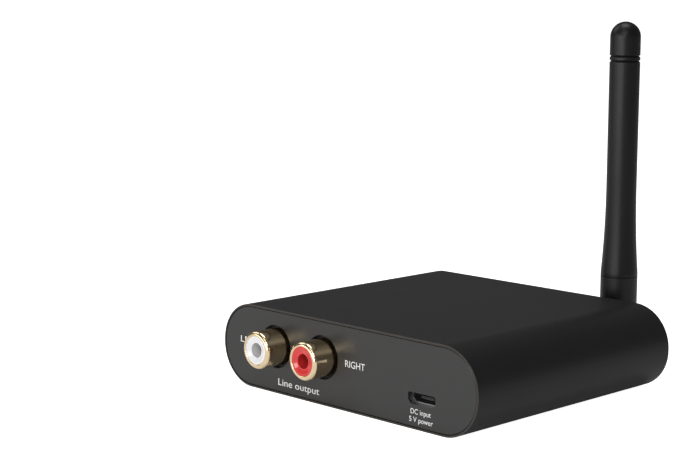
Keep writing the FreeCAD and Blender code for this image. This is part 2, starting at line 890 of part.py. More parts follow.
# ---- knuckle and hinge
def knuckle():
    """Moulded base: a disc that turns on the spigot, and a flat tongue that the mast tilts on."""
    disc = rod(antenna_radius, disc_start, disc_end, antenna_x, antenna_height)
    disc = disc.makeChamfer(0.25, edges_at(disc, "y", disc_start))
    round_end = Part.makeCylinder(
        tongue_radius, 2 * tongue_half, point(antenna_x - tongue_half, hinge_y, antenna_height), X
    )
    stem = block(
        (antenna_x - tongue_half, antenna_x + tongue_half),
        (disc_end, hinge_y),
        (antenna_height - tongue_radius, antenna_height + tongue_radius),
    )
    stem = stem.common(rod(antenna_radius, disc_end, hinge_y, antenna_x, antenna_height))
    body = joined([disc, stem, round_end])
    bore_end = spigot_end + 0.1
    bore = rod(spigot_radius + running_gap, disc_start, bore_end, antenna_x, antenna_height)
    start, end = groove_span()
    bead = pipe(
        spigot_radius + running_gap, spigot_radius - bead_depth, start + 0.05, end - 0.05, antenna_x,
        antenna_height,
    )
    recess = rod(stop_radius, disc_start, disc_start + stop_depth, antenna_x, antenna_height)
    key_angle = 360 - stop_lug_angle - 2 * (swivel_limit + stop_slack)
    key = sector(stop_radius, disc_start, disc_start + stop_depth, antenna_x, antenna_height, -90, key_angle)
    recess = recess.cut(key)
    pin_holes = []
    for side in (-1, 1):
        start_x = min(side * tongue_half, side * (tongue_half - pin_reach - running_gap)) + antenna_x
        hole = Part.makeCylinder(
            pin_radius + running_gap, pin_reach + running_gap, point(start_x, hinge_y, antenna_height), X
        )
        pin_holes.append(hole)
    lead_way = rod(coax_radius + 0.3, bore_end, hinge_y, antenna_x, antenna_height)
    lead_rise = post(coax_radius + 0.3, antenna_height, antenna_height + tongue_radius, antenna_x, hinge_y)
    body = cut_all(body, [bore, recess, lead_way, lead_rise] + pin_holes)
    return body.fuse(bead).removeSplitter()


def hinge_pins():
    """Two stub pins, pressed into the fork's ears and turning in the tongue."""
    pins = []
    for side in (-1, 1):
        inner = side * (tongue_half - pin_reach)
        outer = side * (antenna_radius - 0.55)
        low, high = sorted((inner, outer))
        pins.append(
            Part.makeCylinder(pin_radius, high - low, point(antenna_x + low, hinge_y, antenna_height), X)
        )
    return Part.makeCompound(pins)


def fork_collar():
    """Moulded collar under the mast, with two round ears either side of the tongue."""
    top = seam_height
    lower = antenna_height - antenna_radius
    body = post(antenna_radius, lower, top, antenna_x, hinge_y)
    barrel_half = antenna_radius + 1
    round_bottom = Part.makeCylinder(
        antenna_radius, 2 * barrel_half, point(antenna_x - barrel_half, hinge_y, antenna_height), X
    )
    above = block(
        (antenna_x - barrel_half, antenna_x + barrel_half),
        (hinge_y - barrel_half, hinge_y + barrel_half),
        (antenna_height, top),
    )
    body = body.common(joined([round_bottom, above]))
    slot_half = tongue_half + fork_gap
    slot_radius = tongue_radius + 0.3
    slot = joined([
        Part.makeCylinder(
            slot_radius, 2 * slot_half, point(antenna_x - slot_half, hinge_y, antenna_height), X
        ),
        block(
            (antenna_x - slot_half, antenna_x + slot_half),
            (hinge_y - barrel_half, hinge_y + barrel_half),
            (lower - 1, antenna_height),
        ),
        block(
            (antenna_x - slot_half, antenna_x + slot_half),
            (hinge_y - barrel_half, hinge_y),
            (antenna_height - 1, antenna_height + slot_radius),
        ),
    ])
    side_slot = block(
        (antenna_x - slot_half, antenna_x + slot_half),
        (hinge_y, hinge_y + barrel_half),
        (antenna_height - 1, antenna_height + slot_radius * 0.75),
    )
    spigot = post(collar_spigot_radius, top, top + collar_spigot_height, antenna_x, hinge_y)
    body = cut_all(body, [slot, side_slot]).fuse(spigot)
    lead = post(coax_radius + coax_gap, antenna_height, top + collar_spigot_height, antenna_x, hinge_y)
    holes = []
    for side in (-1, 1):
        low, high = sorted((0, side * (antenna_radius - 0.55)))
        holes.append(
            Part.makeCylinder(pin_radius, high - low, point(antenna_x + low, hinge_y, antenna_height), X)
        )
    return cut_all(body, [lead] + holes).removeSplitter()


# ---- mast
def flare_radius():
    """Radius of the long arc that leads from the mast's foot up to its straight part."""
    step = antenna_radius - mast_radius
    rise = flare_end - flare_start
    return (step * step + rise * rise) / (2 * step)


def flare_width(z):
    """Mast radius at a height on the flare."""
    long_radius = flare_radius()
    return mast_radius + long_radius - math.sqrt(long_radius ** 2 - (flare_end - z) ** 2)


def mast_sleeve():
    """Soft cover: straight foot, long concave flare, straight mast, two fine grooves and a round tip."""
    bottom = seam_height + seam_gap
    dome_centre = mast_top - mast_radius
    middle = (flare_start + flare_end) / 2

    def at(radius, z):
        return point(radius, 0, z)

    edges = [
        Part.makeLine(at(0, bottom), at(antenna_radius - 0.12, bottom)),
        Part.makeLine(at(antenna_radius - 0.12, bottom), at(antenna_radius, bottom + 0.12)),
        Part.makeLine(at(antenna_radius, bottom + 0.12), at(antenna_radius, flare_start)),
        Part.Arc(
            at(antenna_radius, flare_start), at(flare_width(middle), middle), at(mast_radius, flare_end)
        ).toShape(),
    ]
    last = at(mast_radius, flare_end)
    for height in groove_heights:
        low = at(mast_radius, height - groove_half)
        bottom_point = at(mast_radius - groove_depth, height)
        high = at(mast_radius, height + groove_half)
        edges.append(Part.makeLine(last, low))
        edges.append(Part.makeLine(low, bottom_point))
        edges.append(Part.makeLine(bottom_point, high))
        last = high
    side = at(mast_radius, dome_centre)
    lean = math.sqrt(0.5) * mast_radius
    edges.append(Part.makeLine(last, side))
    edges.append(Part.Arc(side, at(lean, dome_centre + lean), at(0, mast_top)).toShape())
    edges.append(Part.makeLine(at(0, mast_top), at(0, bottom)))
    profile = Part.Face(Part.Wire(edges))
    cover = profile.revolve(point(0, 0, 0), Z, 360)
    cover.translate(point(antenna_x, hinge_y, 0))
    seat = post(collar_spigot_radius, bottom, seam_height + collar_spigot_height, antenna_x, hinge_y)
    bore = post(mast_bore_radius, seam_height + collar_spigot_height, mast_bore_top, antenna_x, hinge_y)
    return cut_all(cover, [seat, bore])


def mast_coax():
    return post(coax_radius, antenna_height + tongue_radius + 1.0, radiator_top, antenna_x, hinge_y)


def radiator_sleeve():
    """Brass tube, closed at its top, that the coax passes up through."""
    tube = post(radiator_radius, radiator_bottom, radiator_top, antenna_x, hinge_y)
    inside = post(radiator_radius - 0.35, radiator_bottom, radiator_top - 0.5, antenna_x, hinge_y)
    return cut_all(tube, [inside, post(coax_radius, radiator_bottom, radiator_top, antenna_x, hinge_y)])


def radiator_whip():
    return post(whip_radius, radiator_top, whip_top, antenna_x, hinge_y)


# ---- pairing button and status light
def switch_front():
    return rear_panel_back - 1.0


def switch_body():
    """Side-pressed switch standing at the board's edge."""
    depth = 3.6
    span = (switch_front() - depth, switch_front())
    body = block((button_x - 3.1, button_x + 3.1), span, (board_top, control_height + 3.0))
    pocket = rod(plunger_radius + 0.15, switch_front() - 2.2, switch_front(), button_x, control_height)
    return body.cut(pocket)


def plunger_front():
    return rear_panel_back - 0.4


def switch_plunger():
    start = switch_front() - 2.2 + button_travel + 0.3
    return rod(plunger_radius, start, plunger_front(), button_x, control_height)


def button_cap():
    flange_back = rear_panel_back - 0.05
    flange = rod(button_radius + 0.7, plunger_front(), flange_back, button_x, control_height)
    face = rear_face + button_proud
    shank = rod(button_radius, plunger_front(), face, button_x, control_height)
    shank = shank.makeFillet(0.35, edges_at(shank, "y", face))
    return joined([flange, shank])


def light_leads():
    return [light_x - 1.27, light_x + 1.27]


def light_back():
    return rear_panel_back - 4.0


def light_lead_y():
    return light_back() - 1.6


def status_light():
    """Moulded lens with a round nose that shows through the panel."""
    nose = rear_face + 0.5
    body = rod(light_radius, light_back(), nose, light_x, control_height)
    body = body.makeFillet(light_radius * 0.8, edges_at(body, "y", nose))
    return joined([body, rod(light_radius + 0.35, light_back(), light_back() + 0.9, light_x, control_height)])


def light_lead_wires():
    wires = []
    half = 0.22
    for x in light_leads():
        lead_y = light_lead_y()
        height = (control_height - half, control_height + half)
        along = block((x - half, x + half), (lead_y - half, light_back()), height)
        down = block(
            (x - half, x + half), (lead_y - half, lead_y + half),
            (board_bottom - tail_below_board, control_height + half),
        )
        wires.append(joined([along, down]))
    return Part.makeCompound(wires)


def light_holder():
    """Small block that holds the light at the height of its hole."""
    span = (light_back() + 0.9, rear_panel_back - 0.6)
    body = block((light_x - 2.4, light_x + 2.4), span, (board_top, control_height + 2.2))
    return body.cut(rod(light_radius, *span, light_x, control_height))


nodes = {
    "sleeve": sleeve,
    "jack_panel": jack_panel,
    "jack_panel_gasket": jack_panel_gasket,
    "antenna_panel": antenna_panel,
    "panel_screws": panel_screws,
    "circuit_board": circuit_board,
    "jack_housing": jack_housing,
    "jack_ground_lugs": ground_lugs,
    "port_shell": port_shell,
    "port_tongue": port_tongue,
    "port_contacts": port_contact_strips,
    "radio_module_board": module_board,
    "radio_shield_can": shield_can,
    "radio_chip": radio_chip,
    "radio_crystal": crystal,
    "audio_converter_chip": lambda: leaded_chip(-8.0, -2.0, 4.4, 6.5, 10, 0.65),
    "line_driver_chip": lambda: leaded_chip(-22.0, -1.0, 3.9, 4.9, 4, 1.27),
    "voltage_regulator": voltage_regulator,
    "power_inductor": power_inductor,
    "electrolytic_capacitors": electrolytic_capacitors,
    "ceramic_capacitors": ceramic_capacitors,
    "resistors": resistors,
    "switch_body": switch_body,
    "switch_plunger": switch_plunger,
    "button_cap": button_cap,
    "status_light": status_light,
    "status_light_leads": light_lead_wires,
    "status_light_holder": light_holder,
    "bulkhead_jack": bulkhead_jack,
    "bulkhead_insulator": bulkhead_insulator,
    "bulkhead_contact": bulkhead_contact,
    "toothed_washer": toothed_washer,
    "panel_nut": panel_nut,
    "antenna_lead": antenna_lead,
    "antenna_lead_socket": lead_socket,
    "antenna_lead_plug": lead_plug,
    "antenna_plug_core": plug_core,
    "antenna_plug_insulator": plug_insulator,
    "antenna_plug_pin": plug_pin,
    "nut_retainer": nut_retainer,
    "coupling_nut": coupling_nut,
    "knuckle": knuckle,
    "hinge_pins": hinge_pins,
    "fork_collar": fork_collar,
    "mast_sleeve": mast_sleeve,
    "mast_coax": mast_coax,
    "radiator_sleeve": radiator_sleeve,
    "radiator_whip": radiator_whip,
}

os.makedirs("parts", exist_ok=True)
for name, make in nodes.items():
    make().exportStep(f"parts/{name}.step")
for side, jack_x in jack_places.items():
    barrel(jack_x).exportStep(f"parts/jack_barrel_{side}.step")
    insulator(jack_x).exportStep(f"parts/jack_insulator_{side}.step")
    socket_contact(jack_x).exportStep(f"parts/jack_contact_{side}.step")
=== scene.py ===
"""The looks of a desktop wireless audio receiver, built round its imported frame, in metres."""
import math

import bmesh
import bpy
from mathutils import Matrix, Vector


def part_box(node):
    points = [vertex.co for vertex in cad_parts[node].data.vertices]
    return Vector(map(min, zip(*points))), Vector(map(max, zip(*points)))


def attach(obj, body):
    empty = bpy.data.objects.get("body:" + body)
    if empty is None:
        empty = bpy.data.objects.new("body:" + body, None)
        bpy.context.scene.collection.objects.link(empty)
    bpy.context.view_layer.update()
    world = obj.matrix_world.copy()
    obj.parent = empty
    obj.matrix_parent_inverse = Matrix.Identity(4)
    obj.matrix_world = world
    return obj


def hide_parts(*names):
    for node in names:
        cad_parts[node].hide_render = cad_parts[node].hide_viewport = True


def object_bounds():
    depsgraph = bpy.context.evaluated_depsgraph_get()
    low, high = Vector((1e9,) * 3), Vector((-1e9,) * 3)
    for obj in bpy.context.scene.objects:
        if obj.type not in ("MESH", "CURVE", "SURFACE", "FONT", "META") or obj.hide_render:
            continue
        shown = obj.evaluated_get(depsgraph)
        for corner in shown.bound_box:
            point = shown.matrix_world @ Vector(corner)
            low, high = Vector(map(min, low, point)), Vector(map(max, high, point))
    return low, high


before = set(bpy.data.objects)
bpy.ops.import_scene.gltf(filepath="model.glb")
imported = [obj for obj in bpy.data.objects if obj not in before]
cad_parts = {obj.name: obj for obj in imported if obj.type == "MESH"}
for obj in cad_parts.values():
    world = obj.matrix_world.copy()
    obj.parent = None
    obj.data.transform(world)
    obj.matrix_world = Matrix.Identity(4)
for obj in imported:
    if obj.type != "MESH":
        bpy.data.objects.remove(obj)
cad_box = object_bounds()
mm = 0.001

# ---------------------------------------------------------------- sleeve
# The case is one length of extruded aluminium with rounded sides. It is bead blasted after cutting,
# then anodised black, so it is an even satin with a very fine grain. The sawn mouths are chamfered,
# and a paler tone painted on their rims is a painted highlight for the light the chamfers catch.


def new_group(name, inputs, outputs):
    """A shader node group with its input and output nodes, ready to be filled."""
    group = bpy.data.node_groups.new(name, "ShaderNodeTree")
    for label, kind, value in inputs:
        socket = group.interface.new_socket(label, in_out="INPUT", socket_type="NodeSocket" + kind)
        socket.default_value = value
    for label, kind in outputs:
        group.interface.new_socket(label, in_out="OUTPUT", socket_type="NodeSocket" + kind)
    return group, group.nodes.new("NodeGroupInput"), group.nodes.new("NodeGroupOutput")


def math_node(tree, operation, first, second=None):
    """A Math node whose inputs are sockets or plain numbers; returns its result."""
    node = tree.nodes.new("ShaderNodeMath")
    node.operation = operation
    for index, value in enumerate((first, second)):
        if isinstance(value, bpy.types.NodeSocket):
            tree.links.new(value, node.inputs[index])
        elif value is not None:
            node.inputs[index].default_value = value
    return node.outputs[0]


def noise_node(tree, vector, scale, detail=2.0):
    """A noise texture's value over a vector."""
    node = tree.nodes.new("ShaderNodeTexNoise")
    tree.links.new(vector, node.inputs["Vector"])
    node.inputs["Detail"].default_value = detail
    if isinstance(scale, bpy.types.NodeSocket):
        tree.links.new(scale, node.inputs["Scale"])
    else:
        node.inputs["Scale"].default_value = scale
    return node.outputs["Fac"]


def fine_grain_group():
    """Blasted or moulded texture: a fine height, and a slow cloud that varies tone and roughness."""
    group, given, result = new_group(
        "fine_grain",
        [("Grain Scale", "Float", 9000.0), ("Cloud Scale", "Float", 60.0)],
        [("Height", "Float"), ("Cloud", "Float")],
    )
    place = group.nodes.new("ShaderNodeTexCoord").outputs["Object"]
    fine = noise_node(group, place, given.outputs["Grain Scale"], 3.0)
    cloud = noise_node(group, place, given.outputs["Cloud Scale"], 2.0)
    group.links.new(fine, result.inputs["Height"])
    group.links.new(cloud, result.inputs["Cloud"])
    return group


fine_grain = fine_grain_group()


def surface_group():
    """Turns a grain's height and cloud into a colour between two tones and a roughness about a middle."""
    group, given, result = new_group(
        "toned_surface",
        [
            ("Height", "Float", 0.5),
            ("Cloud", "Float", 0.5),
            ("Dark Tone", "Color", (0.02, 0.02, 0.02, 1)),
            ("Light Tone", "Color", (0.03, 0.03, 0.03, 1)),
            ("Roughness", "Float", 0.45),
            ("Roughness Spread", "Float", 0.08),
        ],
        [("Color", "Color"), ("Roughness", "Float")],
    )
    half = math_node(group, "MULTIPLY", given.outputs["Height"], 0.5)
    rest = math_node(group, "MULTIPLY", given.outputs["Cloud"], 0.5)
    blend = math_node(group, "ADD", half, rest)
    mix = group.nodes.new("ShaderNodeMix")
    mix.data_type = "RGBA"
    group.links.new(blend, mix.inputs["Factor"])
    group.links.new(given.outputs["Dark Tone"], mix.inputs["A"])
    group.links.new(given.outputs["Light Tone"], mix.inputs["B"])
    group.links.new(mix.outputs["Result"], result.inputs["Color"])
    offset = math_node(group, "SUBTRACT", blend, 0.5)
    offset = math_node(group, "MULTIPLY", offset, given.outputs["Roughness Spread"])
    group.links.new(math_node(group, "ADD", offset, given.outputs["Roughness"]), result.inputs["Roughness"])
    return group


toned_surface = surface_group()


def placed_group(tree, group, values):
    """Puts a group in a tree and sets its inputs."""
    node = tree.nodes.new("ShaderNodeGroup")
    node.node_tree = group
    for label, value in values.items():
        node.inputs[label].default_value = value
    return node


def grained_material(name, dark, light, roughness, spread, grain, cloud, bump, shader=None):
    """A material of two tones, uneven roughness and a fine grain.

    Grain and cloud are noise scales per metre, bump is the grain's depth in metres, and shader holds
    constants for the shader's own sockets.
    """
    material = bpy.data.materials.new(name)
    material.use_nodes = True
    tree = material.node_tree
    principled = tree.nodes["Principled BSDF"]
    texture = placed_group(tree, fine_grain, {"Grain Scale": grain, "Cloud Scale": cloud})
    toned = placed_group(
        tree,
        toned_surface,
        {
            "Dark Tone": (*dark, 1),
            "Light Tone": (*light, 1),
            "Roughness": roughness,
            "Roughness Spread": spread,
        },
    )
    tree.links.new(texture.outputs["Height"], toned.inputs["Height"])
    tree.links.new(texture.outputs["Cloud"], toned.inputs["Cloud"])
    tree.links.new(toned.outputs["Color"], principled.inputs["Base Color"])
    tree.links.new(toned.outputs["Roughness"], principled.inputs["Roughness"])
    if bump:
        relief = tree.nodes.new("ShaderNodeBump")
        relief.inputs["Distance"].default_value = bump
        relief.inputs["Strength"].default_value = 1.0
        tree.links.new(texture.outputs["Height"], relief.inputs["Height"])
        tree.links.new(relief.outputs["Normal"], principled.inputs["Normal"])
    for label, value in (shader or {}).items():
        principled.inputs[label].default_value = value
    return material


def finish(material, *nodes):
    """Gives CAD nodes a material."""
    for node in nodes:
        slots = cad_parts[node].data.materials
        for index in range(len(slots)):
            slots[index] = material
        if not slots:
            slots.append(material)


def cut_edge_group():
    """Mask of the faces that lie beyond a distance from the middle along Y: the sawn and turned ends."""
    group, given, result = new_group("cut_edge", [("Reach", "Float", 0.03)], [("Mask", "Float")])
    place = group.nodes.new("ShaderNodeTexCoord").outputs["Object"]
    axes = group.nodes.new("ShaderNodeSeparateXYZ")
    group.links.new(place, axes.inputs[0])
    distance = math_node(group, "ABSOLUTE", axes.outputs["Y"])
    group.links.new(math_node(group, "GREATER_THAN", distance, given.outputs["Reach"]), result.inputs["Mask"])
    return group


cut_edge = cut_edge_group()


def paint_cut_edge_highlight(material, reach, tone):
    """Paints a paler tone, a painted highlight, on a material's cut ends."""
    tree = material.node_tree
    colour = tree.nodes["Principled BSDF"].inputs["Base Color"]
    mask = placed_group(tree, cut_edge, {"Reach": reach})
    mix = tree.nodes.new("ShaderNodeMix")
    mix.data_type = "RGBA"
    tree.links.new(mask.outputs["Mask"], mix.inputs["Factor"])
    tree.links.new(colour.links[0].from_socket, mix.inputs["A"])
    mix.inputs["B"].default_value = (*tone, 1)
    tree.links.new(mix.outputs["Result"], colour)


black_anodising = grained_material(
    "black_anodising",
    dark=(0.0125, 0.0123, 0.0125), light=(0.0165, 0.0163, 0.0165),
    roughness=0.42, spread=0.08, grain=9000, cloud=60, bump=0.000004,
    shader={"Specular IOR Level": 0.2},
)
# Painted highlight: a paler tone over the last 0.12 mm at each sawn end, standing in for the light the
# chamfered rims catch.
rim_depth = 0.12 * mm
rim_highlight_tone = (0.05, 0.045, 0.041)
paint_cut_edge_highlight(black_anodising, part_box("sleeve")[1].y - rim_depth, rim_highlight_tone)
finish(black_anodising, "sleeve")

# ---------------------------------------------------------------- end panels
# Each mouth is closed by a flat plate, moulded in black with a fine matt texture. The jack panel is
# bonded in on a thin gasket, so no screws show; the antenna panel is held by two small black screws.

panel_plastic = grained_material(
    "panel_plastic",
    dark=(0.024, 0.0235, 0.023), light=(0.032, 0.0312, 0.0305),
    roughness=0.33, spread=0.08, grain=6000, cloud=40, bump=0.000003,
    shader={"Specular IOR Level": 0.48},
)
finish(panel_plastic, "jack_panel", "antenna_panel")
gasket_foam = grained_material(
    "gasket_foam",
    dark=(0.008, 0.008, 0.008), light=(0.015, 0.015, 0.015),
    roughness=0.9, spread=0.1, grain=4000, cloud=200, bump=0.00002,
)
finish(gasket_foam, "jack_panel_gasket")
black_zinc = grained_material(
    "black_zinc",
    dark=(0.02, 0.02, 0.021), light=(0.05, 0.05, 0.052),
    roughness=0.35, spread=0.2, grain=3000, cloud=300, bump=0.000003,
    shader={"Metallic": 1.0},
)
finish(black_zinc, "panel_screws")

# ---------------------------------------------------------------- phono jacks
# Two phono sockets. Each barrel is drawn brass with polished gold plate and a rolled lip; the coloured
# insulator, glossy plastic, is pressed into it and lined by the sprung tube of the centre contact.

gold_plate = grained_material(
    "gold_plate",
    dark=(0.94, 0.71, 0.43), light=(0.98, 0.80, 0.54),
    roughness=0.14, spread=0.08, grain=2500, cloud=200, bump=0.000001,
    shader={"Metallic": 1.0},
)
finish(gold_plate, "jack_barrel_left", "jack_barrel_right", "port_contacts", "bulkhead_contact",
       "antenna_plug_pin", "bulkhead_jack", "panel_nut", "toothed_washer", "antenna_lead_socket")
white_gloss = grained_material(
    "white_gloss",
    dark=(0.80, 0.80, 0.81), light=(0.88, 0.88, 0.89),
    roughness=0.18, spread=0.06, grain=2000, cloud=120, bump=0.000002,
    shader={"Coat Weight": 0.3, "Coat Roughness": 0.08},
)
finish(white_gloss, "jack_insulator_left")
red_gloss = grained_material(
    "red_gloss",
    dark=(0.62, 0.030, 0.030), light=(0.74, 0.045, 0.045),
    roughness=0.18, spread=0.06, grain=2000, cloud=120, bump=0.000002,
    shader={"Coat Weight": 0.3, "Coat Roughness": 0.08},
)
finish(red_gloss, "jack_insulator_right")
drawn_brass = grained_material(
    "drawn_brass",
    dark=(0.55, 0.38, 0.15), light=(0.70, 0.50, 0.22),
    roughness=0.3, spread=0.15, grain=2500, cloud=300, bump=0.000002,
    shader={"Metallic": 1.0},
)
finish(drawn_brass, "jack_contact_left", "jack_contact_right", "antenna_plug_core", "radiator_sleeve")
moulded_black = grained_material(
    "moulded_black",
    dark=(0.010, 0.010, 0.011), light=(0.018, 0.018, 0.019),
    roughness=0.5, spread=0.1, grain=5000, cloud=100, bump=0.000005,
)
finish(moulded_black, "jack_housing", "port_tongue", "switch_body", "status_light_holder")
tinned_steel = grained_material(
    "tinned_steel",
    dark=(0.50, 0.50, 0.51), light=(0.66, 0.66, 0.67),
    roughness=0.3, spread=0.15, grain=2500, cloud=200, bump=0.000002,
    shader={"Metallic": 1.0},
)
finish(tinned_steel, "jack_ground_lugs", "port_shell", "radio_shield_can", "radio_crystal",
       "status_light_leads", "antenna_lead_plug", "nut_retainer", "hinge_pins")

# ---------------------------------------------------------------- circuit board
# Glass-epoxy board under green solder mask, carrying a small blue radio board under a tinned can, two
# audio chips in black epoxy, the power parts and rows of fired-ceramic capacitors.

solder_mask = grained_material(
    "solder_mask",
    dark=(0.008, 0.07, 0.03), light=(0.012, 0.10, 0.045),
    roughness=0.3, spread=0.1, grain=1500, cloud=120, bump=0.000006,
    shader={"Coat Weight": 0.4, "Coat Roughness": 0.15},
)
finish(solder_mask, "circuit_board")
blue_mask = grained_material(
    "blue_mask",
    dark=(0.008, 0.02, 0.10), light=(0.012, 0.03, 0.14),
    roughness=0.3, spread=0.1, grain=1500, cloud=120, bump=0.000006,
    shader={"Coat Weight": 0.4, "Coat Roughness": 0.15},
)
finish(blue_mask, "radio_module_board")
moulded_epoxy = grained_material(
    "moulded_epoxy",
    dark=(0.012, 0.012, 0.013), light=(0.022, 0.022, 0.023),
    roughness=0.55, spread=0.1, grain=8000, cloud=100, bump=0.000006,
)
finish(moulded_epoxy, "radio_chip", "audio_converter_chip", "line_driver_chip", "voltage_regulator",
       "resistors")
capacitor_can = grained_material(
    "capacitor_can",
    dark=(0.62, 0.62, 0.63), light=(0.76, 0.76, 0.77),
    roughness=0.25, spread=0.12, grain=2500, cloud=200, bump=0.000002,
    shader={"Metallic": 1.0},
)
finish(capacitor_can, "electrolytic_capacitors")
fired_ceramic = grained_material(
    "fired_ceramic",
    dark=(0.40, 0.29, 0.18), light=(0.52, 0.39, 0.26),
    roughness=0.5, spread=0.1, grain=5000, cloud=300, bump=0.000004,
)
finish(fired_ceramic, "ceramic_capacitors")
ferrite = grained_material(
    "ferrite",
    dark=(0.03, 0.03, 0.032), light=(0.05, 0.05, 0.052),
    roughness=0.45, spread=0.15, grain=6000, cloud=300, bump=0.000006,
)
finish(ferrite, "power_inductor")

# ---------------------------------------------------------------- solder and pads
# What joins the parts to the board: a cone of tin solder round each tail that comes out below it, and
# a row of gold-flashed pads along each side of the radio board.


def new_tree(name, inputs):
    """A geometry tree with a geometry input, the given inputs and a geometry output."""
    tree = bpy.data.node_groups.new(name, "GeometryNodeTree")
    tree.interface.new_socket("Geometry", in_out="INPUT", socket_type="NodeSocketGeometry")
    for label, kind in inputs:
        tree.interface.new_socket(label, in_out="INPUT", socket_type="NodeSocket" + kind)
    tree.interface.new_socket("Geometry", in_out="OUTPUT", socket_type="NodeSocketGeometry")
    return tree, tree.nodes.new("NodeGroupInput"), tree.nodes.new("NodeGroupOutput")


def finish_tree(tree, result, instances, material, body=None):
    """Ends a geometry tree: instances made real, joined to a body where there is one, and painted."""
    real = tree.nodes.new("GeometryNodeRealizeInstances")
    tree.links.new(instances, real.inputs["Geometry"])
    geometry = real.outputs["Geometry"]
    if body:
        together = tree.nodes.new("GeometryNodeJoinGeometry")
        tree.links.new(body, together.inputs["Geometry"])
        tree.links.new(geometry, together.inputs["Geometry"])
        geometry = together.outputs["Geometry"]
    painted = tree.nodes.new("GeometryNodeSetMaterial")
    tree.links.new(geometry, painted.inputs["Geometry"])
    tree.links.new(material, painted.inputs["Material"])
    tree.links.new(painted.outputs["Geometry"], result.inputs["Geometry"])


def set_inputs(modifier, values):
    """Sets a Geometry Nodes modifier's inputs by the identifiers of their sockets."""
    for item in modifier.node_group.interface.items_tree:
        if item.item_type == "SOCKET" and item.in_out == "INPUT" and item.name in values:
            modifier[item.identifier] = values[item.name]


def made_by_nodes(name, mesh, tree, values, place, body):
    """Runs a geometry tree on a mesh, keeps its result as a plain piece and seats it on a body."""
    maker = bpy.data.objects.new(name + "_maker", mesh)
    bpy.context.scene.collection.objects.link(maker)
    modifier = maker.modifiers.new("build", "NODES")
    modifier.node_group = tree
    set_inputs(modifier, values)
    bpy.context.view_layer.update()
    evaluated = maker.evaluated_get(bpy.context.evaluated_depsgraph_get())
    result = bpy.data.meshes.new_from_object(evaluated)
    maker.modifiers.remove(modifier)
    bpy.data.objects.remove(maker)
    result.transform(Matrix.Translation(place))
    result.name = name
    piece = bpy.data.objects.new(name, result)
    bpy.context.scene.collection.objects.link(piece)
    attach(piece, body)
    return piece


def points_mesh(name, places):
    """A mesh of loose points, in millimetres."""
    mesh = bpy.data.meshes.new(name)
    mesh.from_pydata([[value * mm for value in place] for place in places], [], [])
    return mesh


def fillet_tree():
    """A cone of solder, wide end up, at each point of the given mesh."""
    tree, given, result = new_tree(
        "solder_fillets",
        [("Wide Radius", "Float"), ("Tip Radius", "Float"), ("Depth", "Float"), ("Material", "Material")],
    )
    links = tree.links
    cone_sides = 20
    cone = tree.nodes.new("GeometryNodeMeshCone")
    cone.inputs["Vertices"].default_value = cone_sides
    links.new(given.outputs["Wide Radius"], cone.inputs["Radius Bottom"])
    links.new(given.outputs["Tip Radius"], cone.inputs["Radius Top"])
    links.new(given.outputs["Depth"], cone.inputs["Depth"])
    placed = tree.nodes.new("GeometryNodeInstanceOnPoints")
    placed.inputs["Rotation"].default_value = (math.pi, 0, 0)
    links.new(given.outputs["Geometry"], placed.inputs["Points"])
    links.new(cone.outputs["Mesh"], placed.inputs["Instance"])
    finish_tree(tree, result, placed.outputs["Instances"], given.outputs["Material"])
    return tree


def block_tree():
    """A flat block of one size at each point of the given mesh."""
    tree, given, result = new_tree("flat_blocks", [("Size", "Vector"), ("Material", "Material")])
    links = tree.links
    block = tree.nodes.new("GeometryNodeMeshCube")
    links.new(given.outputs["Size"], block.inputs["Size"])
    placed = tree.nodes.new("GeometryNodeInstanceOnPoints")
    links.new(given.outputs["Geometry"], placed.inputs["Points"])
    links.new(block.outputs["Mesh"], placed.inputs["Instance"])
    finish_tree(tree, result, placed.outputs["Instances"], given.outputs["Material"])
    return tree




def box_mm(node):
    """A node's lowest and highest corners, in millimetres."""
    return [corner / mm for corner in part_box(node)]


board_bottom = box_mm("circuit_board")[0].z
tail_half = 0.2
lead_half = 0.22
lug_low, lug_high = box_mm("jack_ground_lugs")
lead_low, lead_high = box_mm("status_light_leads")
tail_places = []
for side in ("left", "right"):
    contact_low, contact_high = box_mm("jack_contact_" + side)
    middle_x = (contact_low.x + contact_high.x) / 2
    tail_places.append((middle_x, contact_high.y - tail_half))
    tail_places.append((middle_x, (lug_low.y + lug_high.y) / 2))
for x in (lead_low.x + lead_half, lead_high.x - lead_half):
    tail_places.append((x, lead_low.y + lead_half))
solder = grained_material(
    "solder",
    dark=(0.55, 0.55, 0.56), light=(0.70, 0.70, 0.71),
    roughness=0.25, spread=0.15, grain=2500, cloud=300, bump=0.000003,
    shader={"Metallic": 1.0},
)
solder_sizes = {"Wide Radius": 1.25 * mm, "Tip Radius": 0.85 * mm, "Depth": 0.8 * mm}
made_by_nodes(
    "solder_joints",
    points_mesh("solder_places", [(x, y, board_bottom) for x, y in tail_places]),
    fillet_tree(),
    {**solder_sizes, "Material": solder},
    Vector((0, 0, 0)),
    "case",
)

module_low, module_high = box_mm("radio_module_board")
pad_pitch = 1.27
pad_size = Vector((0.8, 0.7, 0.06))
pads_a_side = 12
first_pad = (module_low.y + module_high.y) / 2 - (pads_a_side - 1) / 2 * pad_pitch
pad_places = []
for edge in (module_low.x + pad_size.x / 2, module_high.x - pad_size.x / 2):
    for index in range(pads_a_side):
        pad_places.append((edge, first_pad + index * pad_pitch, module_high.z))
made_by_nodes(
    "radio_board_pads",
    points_mesh("pad_places", pad_places),
    block_tree(),
    {"Size": pad_size * mm, "Material": gold_plate},
    Vector((0, 0, 0)),
    "case",
)

# ---------------------------------------------------------------- button and light
# A small black moulded button stands through the antenna panel and presses a switch at the board's edge.
# Beside it a clear moulded light sits in a black holder, on two tinned leads soldered into the board.

